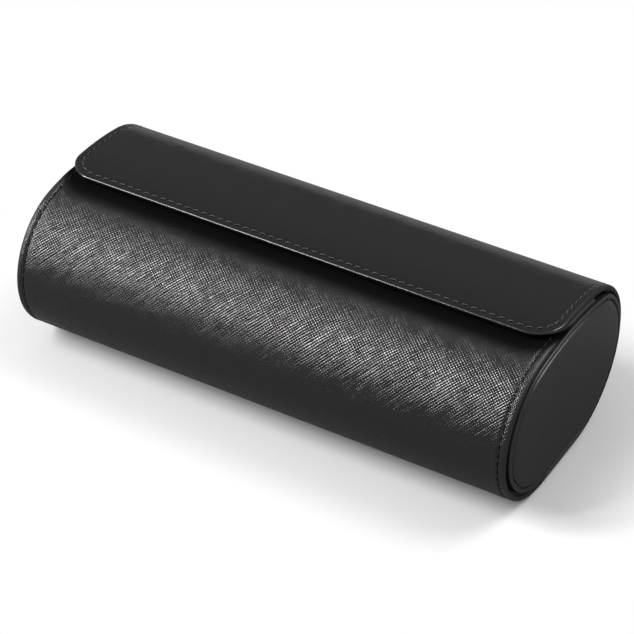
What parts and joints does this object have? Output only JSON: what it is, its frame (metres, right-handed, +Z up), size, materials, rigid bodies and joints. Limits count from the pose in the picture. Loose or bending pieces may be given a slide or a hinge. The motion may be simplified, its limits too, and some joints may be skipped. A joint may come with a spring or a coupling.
{
  "type": "watch travel case",
  "caption": "Rigid oval watch roll in cross-grained leather, with a fold-back flap, a fold-down front leaf, padded oval ends and lift-out watch cushions in divided bays.",
  "frame": {"origin": "middle of the flat strip that the case rests on", "axes": "+X along the case, +Y towards the back where the flap hinges, +Z up"},
  "size_m": [0.209, 0.0936, 0.0655],
  "materials": {
    "black_leather": "satin, fine cross-hatched grain",
    "panel_leather": "satin, fine cross-hatched grain",
    "grey_suede": "napped",
    "cushion_suede": "napped",
    "stiffener_board": "matte",
    "cushion_foam": "matte",
    "magnet_nickel": "plated",
    "plate_steel": "plain"
  },
  "bodies": {
    "base": {"base_board": "stiffener_board", "base_skin": "black_leather", "base_lining": "grey_suede", "front_hinge_strip": "black_leather", "left_end_board": "stiffener_board", "left_end_pad": "cushion_foam", "left_end_cover": "panel_leather", "left_end_lining": "grey_suede", "divider_left_board": "stiffener_board", "divider_left_suede": "grey_suede", "right_end_board": "stiffener_board", "right_end_pad": "cushion_foam", "right_end_cover": "panel_leather", "right_end_lining": "grey_suede", "divider_right_board": "stiffener_board", "divider_right_suede": "grey_suede"},
    "front_leaf": {"leaf_board": "stiffener_board", "leaf_skin": "black_leather", "leaf_lining": "grey_suede", "leaf_plate_left": "plate_steel", "leaf_plate_right": "plate_steel"},
    "flap": {"flap_board": "stiffener_board", "flap_skin": "black_leather", "flap_lining": "grey_suede", "flap_magnet_left": "magnet_nickel", "flap_magnet_right": "magnet_nickel"},
    "cushion_left": {"cushion_left_core": "cushion_foam", "cushion_left_cover": "cushion_suede"},
    "cushion_middle": {"cushion_middle_core": "cushion_foam", "cushion_middle_cover": "cushion_suede"},
    "cushion_right": {"cushion_right_core": "cushion_foam", "cushion_right_cover": "cushion_suede"}
  },
  "joints": [
    {"name": "flap_hinge", "type": "hinge", "parent": "base", "child": "flap", "pos_m": [0, 0.04675, 0.03277], "axis": [-1, 0, 0], "range_deg": [0, 165]},
    {"name": "leaf_hinge", "type": "hinge", "parent": "base", "child": "front_leaf", "pos_m": [0, -0.03796, 0.01029], "axis": [1, 0, 0], "range_deg": [0, 90]},
    {"name": "cushion_left_lift", "type": "slide", "parent": "base", "child": "cushion_left", "axis": [0, 0, 1], "range_m": [0, 0.012]},
    {"name": "cushion_middle_lift", "type": "slide", "parent": "base", "child": "cushion_middle", "axis": [0, 0, 1], "range_m": [0, 0.012]},
    {"name": "cushion_right_lift", "type": "slide", "parent": "base", "child": "cushion_right", "axis": [0, 0, 1], "range_m": [0, 0.012]}
  ],
  "couplings": [
    {"joint": "leaf_hinge", "follows": "flap_hinge", "ratio": 0.545}
  ]
}
